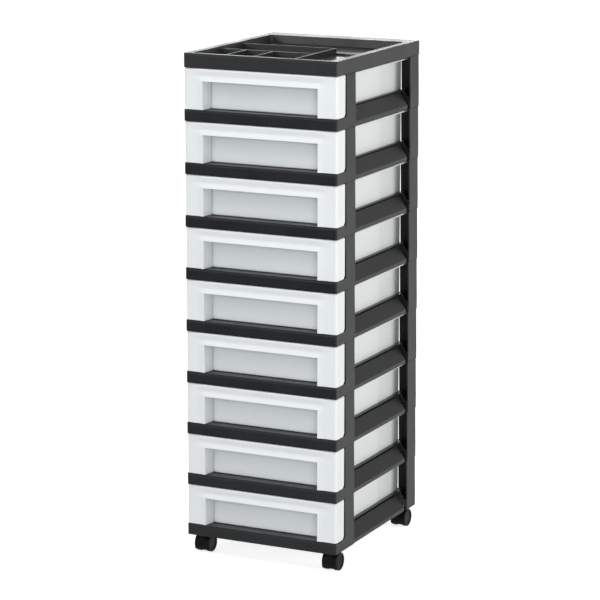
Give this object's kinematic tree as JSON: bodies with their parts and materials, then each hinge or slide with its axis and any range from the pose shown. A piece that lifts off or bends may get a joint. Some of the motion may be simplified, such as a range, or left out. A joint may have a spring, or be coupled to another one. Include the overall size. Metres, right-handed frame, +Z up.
{
  "type": "plastic drawer tower",
  "caption": "Tall narrow drawer tower: stacked black frames with open sides, frosted drawers with white fronts and finger recesses, a divided top tray, and swivel casters.",
  "frame": {"origin": "on the floor, under the middle of the tower", "axes": "+Z up, the drawers open towards -Y, +X is the tower's right as seen from its front, and the side the picture shows"},
  "size_m": [0.306, 0.362, 0.9425],
  "materials": {
    "black_plastic": "satin moulded",
    "frosted_plastic": "frosted translucent",
    "white_plastic": "satin",
    "caster_plastic": "satin",
    "wheel_plastic": "hard smooth",
    "steel": "plated"
  },
  "bodies": {
    "tower": {"top_tray": "black_plastic", "tier_frame_1": "black_plastic", "tier_frame_2": "black_plastic", "tier_frame_3": "black_plastic", "tier_frame_4": "black_plastic", "tier_frame_5": "black_plastic", "tier_frame_6": "black_plastic", "tier_frame_7": "black_plastic", "tier_frame_8": "black_plastic", "tier_frame_9": "black_plastic", "caster_stem_1": "steel", "caster_stem_2": "steel", "caster_stem_3": "steel", "caster_stem_4": "steel"},
    "drawer_1": {"drawer_tub_1": "frosted_plastic", "drawer_front_1": "white_plastic"},
    "drawer_2": {"drawer_tub_2": "frosted_plastic", "drawer_front_2": "white_plastic"},
    "drawer_3": {"drawer_tub_3": "frosted_plastic", "drawer_front_3": "white_plastic"},
    "drawer_4": {"drawer_tub_4": "frosted_plastic", "drawer_front_4": "white_plastic"},
    "drawer_5": {"drawer_tub_5": "frosted_plastic", "drawer_front_5": "white_plastic"},
    "drawer_6": {"drawer_tub_6": "frosted_plastic", "drawer_front_6": "white_plastic"},
    "drawer_7": {"drawer_tub_7": "frosted_plastic", "drawer_front_7": "white_plastic"},
    "drawer_8": {"drawer_tub_8": "frosted_plastic", "drawer_front_8": "white_plastic"},
    "drawer_9": {"drawer_tub_9": "frosted_plastic", "drawer_front_9": "white_plastic"},
    "caster_1": {"caster_housing_1": "caster_plastic", "caster_axle_1": "steel"},
    "caster_1_wheel_right": {"caster_wheel_right_1": "wheel_plastic"},
    "caster_1_wheel_left": {"caster_wheel_left_1": "wheel_plastic"},
    "caster_2": {"caster_housing_2": "caster_plastic", "caster_axle_2": "steel"},
    "caster_2_wheel_right": {"caster_wheel_right_2": "wheel_plastic"},
    "caster_2_wheel_left": {"caster_wheel_left_2": "wheel_plastic"},
    "caster_3": {"caster_housing_3": "caster_plastic", "caster_axle_3": "steel"},
    "caster_3_wheel_right": {"caster_wheel_right_3": "wheel_plastic"},
    "caster_3_wheel_left": {"caster_wheel_left_3": "wheel_plastic"},
    "caster_4": {"caster_housing_4": "caster_plastic", "caster_axle_4": "steel"},
    "caster_4_wheel_right": {"caster_wheel_right_4": "wheel_plastic"},
    "caster_4_wheel_left": {"caster_wheel_left_4": "wheel_plastic"}
  },
  "joints": [
    {"name": "drawer_1_slide", "type": "slide", "parent": "tower", "child": "drawer_1", "axis": [0, -1, 0], "range_m": [0, 0.24]},
    {"name": "drawer_2_slide", "type": "slide", "parent": "tower", "child": "drawer_2", "axis": [0, -1, 0], "range_m": [0, 0.24]},
    {"name": "drawer_3_slide", "type": "slide", "parent": "tower", "child": "drawer_3", "axis": [0, -1, 0], "range_m": [0, 0.24]},
    {"name": "drawer_4_slide", "type": "slide", "parent": "tower", "child": "drawer_4", "axis": [0, -1, 0], "range_m": [0, 0.24]},
    {"name": "drawer_5_slide", "type": "slide", "parent": "tower", "child": "drawer_5", "axis": [0, -1, 0], "range_m": [0, 0.24]},
    {"name": "drawer_6_slide", "type": "slide", "parent": "tower", "child": "drawer_6", "axis": [0, -1, 0], "range_m": [0, 0.24]},
    {"name": "drawer_7_slide", "type": "slide", "parent": "tower", "child": "drawer_7", "axis": [0, -1, 0], "range_m": [0, 0.24]},
    {"name": "drawer_8_slide", "type": "slide", "parent": "tower", "child": "drawer_8", "axis": [0, -1, 0], "range_m": [0, 0.24]},
    {"name": "drawer_9_slide", "type": "slide", "parent": "tower", "child": "drawer_9", "axis": [0, -1, 0], "range_m": [0, 0.24]},
    {"name": "caster_1_swivel", "type": "hinge", "parent": "tower", "child": "caster_1", "pos_m": [-0.132, -0.155, 0.037], "axis": [0, 0, 1], "continuous": true},
    {"name": "caster_1_right_wheel_spin", "type": "hinge", "parent": "caster_1", "child": "caster_1_wheel_right", "pos_m": [-0.132, -0.147, 0.017], "axis": [1, 0, 0], "continuous": true},
    {"name": "caster_1_left_wheel_spin", "type": "hinge", "parent": "caster_1", "child": "caster_1_wheel_left", "pos_m": [-0.132, -0.147, 0.017], "axis": [1, 0, 0], "continuous": true},
    {"name": "caster_2_swivel", "type": "hinge", "parent": "tower", "child": "caster_2", "pos_m": [0.132, -0.155, 0.037], "axis": [0, 0, 1], "continuous": true},
    {"name": "caster_2_right_wheel_spin", "type": "hinge", "parent": "caster_2", "child": "caster_2_wheel_right", "pos_m": [0.132, -0.147, 0.017], "axis": [1, 0, 0], "continuous": true},
    {"name": "caster_2_left_wheel_spin", "type": "hinge", "parent": "caster_2", "child": "caster_2_wheel_left", "pos_m": [0.132, -0.147, 0.017], "axis": [1, 0, 0], "continuous": true},
    {"name": "caster_3_swivel", "type": "hinge", "parent": "tower", "child": "caster_3", "pos_m": [-0.132, 0.155, 0.037], "axis": [0, 0, 1], "continuous": true},
    {"name": "caster_3_right_wheel_spin", "type": "hinge", "parent": "caster_3", "child": "caster_3_wheel_right", "pos_m": [-0.132, 0.163, 0.017], "axis": [1, 0, 0], "continuous": true},
    {"name": "caster_3_left_wheel_spin", "type": "hinge", "parent": "caster_3", "child": "caster_3_wheel_left", "pos_m": [-0.132, 0.163, 0.017], "axis": [1, 0, 0], "continuous": true},
    {"name": "caster_4_swivel", "type": "hinge", "parent": "tower", "child": "caster_4", "pos_m": [0.132, 0.155, 0.037], "axis": [0, 0, 1], "continuous": true},
    {"name": "caster_4_right_wheel_spin", "type": "hinge", "parent": "caster_4", "child": "caster_4_wheel_right", "pos_m": [0.132, 0.163, 0.017], "axis": [1, 0, 0], "continuous": true},
    {"name": "caster_4_left_wheel_spin", "type": "hinge", "parent": "caster_4", "child": "caster_4_wheel_left", "pos_m": [0.132, 0.163, 0.017], "axis": [1, 0, 0], "continuous": true}
  ]
}
